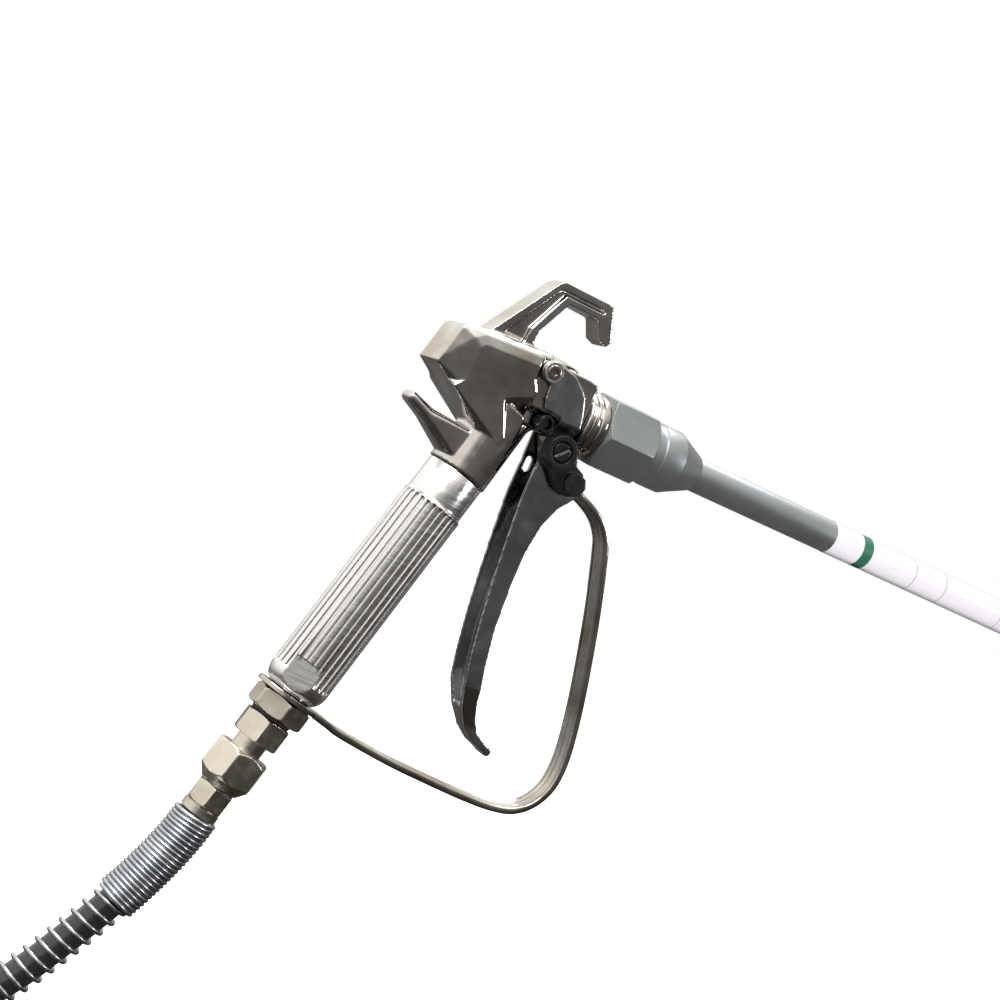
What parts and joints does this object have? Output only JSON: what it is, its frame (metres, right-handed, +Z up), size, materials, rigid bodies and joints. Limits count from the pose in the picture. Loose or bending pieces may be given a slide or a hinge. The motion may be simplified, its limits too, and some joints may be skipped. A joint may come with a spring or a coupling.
{
  "type": "airless paint spray gun",
  "caption": "Airless paint spray gun with a hanging hook, guarded trigger, fluted grip, extension pole, reversible tip and a whip hose laid in a coil.",
  "frame": {"origin": "centre of the fluted grip, on its axis", "axes": "+X the way the paint leaves, along the pole; +Y to the gun's left; +Z up, square to the pole"},
  "size_m": [0.6549, 0.153, 0.3854],
  "materials": {
    "chromed_casting": "polished",
    "turned_aluminium": "bright, turned and fluted",
    "smoked_steel": "bright with a smoked nickel tint",
    "tool_steel": "ground",
    "zinc_spring": "zinc plated",
    "nickel_fitting": "nickel plated",
    "black_plastic": "moulded",
    "black_screw": "black oxide",
    "satin_aluminium": "satin anodised",
    "label_film": "printed film",
    "white_plastic": "moulded",
    "seal_rubber": "matt",
    "hose_rubber": "glossy",
    "orange_plastic": "moulded"
  },
  "bodies": {
    "gun": {"head": "chromed_casting", "grip": "turned_aluminium", "grip_seal": "seal_rubber", "filter_mesh": "tool_steel", "filter_core": "white_plastic", "trigger_guard": "chromed_casting", "guard_screw": "chromed_casting", "pivot_screws": "chromed_casting", "needle_spring": "zinc_spring", "packing": "white_plastic", "seat_housing": "chromed_casting", "seat": "tool_steel", "seat_gasket": "white_plastic", "swivel_nut": "nickel_fitting", "swivel_ring": "seal_rubber", "swivel_body": "nickel_fitting", "hose_nut": "nickel_fitting", "hose_stem": "nickel_fitting", "spring_tight": "zinc_spring", "spring_open": "zinc_spring", "hose": "hose_rubber", "hose_coil": "hose_rubber", "coil_tie": "black_plastic", "far_stem": "nickel_fitting", "far_nut": "nickel_fitting", "pole_nut": "satin_aluminium", "pole_collar": "satin_aluminium", "pole_tube": "satin_aluminium", "pole_label": "label_film", "pole_end": "satin_aluminium", "tip_seal": "seal_rubber", "tip_guard": "orange_plastic", "tip_guard_nut": "black_plastic"},
    "trigger": {"trigger": "smoked_steel", "pivot_collars": "turned_aluminium"},
    "lock": {"lock_lever": "black_plastic", "lock_screw": "black_screw"},
    "needle_group": {"needle": "tool_steel", "needle_ball": "tool_steel", "needle_yoke": "tool_steel", "pull_pin": "tool_steel", "pull_rollers": "black_plastic"},
    "tip": {"spray_tip": "tool_steel", "tip_lever": "black_plastic"}
  },
  "joints": [
    {"name": "trigger_pull", "type": "hinge", "parent": "gun", "child": "trigger", "pos_m": [0.03132, 0, 0.10896], "axis": [0, 1, 0], "range_deg": [0, 15], "stiffness_Nm_per_rad": 2, "springref_deg": -14.32},
    {"name": "needle_slide", "type": "slide", "parent": "gun", "child": "needle_group", "axis": [1, 0, 0], "range_m": [-0.0054, 0], "deforming": ["needle_spring"]},
    {"name": "lock_turn", "type": "hinge", "parent": "trigger", "child": "lock", "pos_m": [0.04732, 0, 0.08056], "axis": [0, 1, 0], "range_deg": [0, 24]},
    {"name": "tip_turn", "type": "hinge", "parent": "gun", "child": "tip", "pos_m": [0.38932, 0, 0.09636], "axis": [0, 0, 1], "range_deg": [0, 180]}
  ],
  "couplings": [
    {"joint": "needle_slide", "follows": "trigger_pull", "m_per_rad": -0.02}
  ]
}
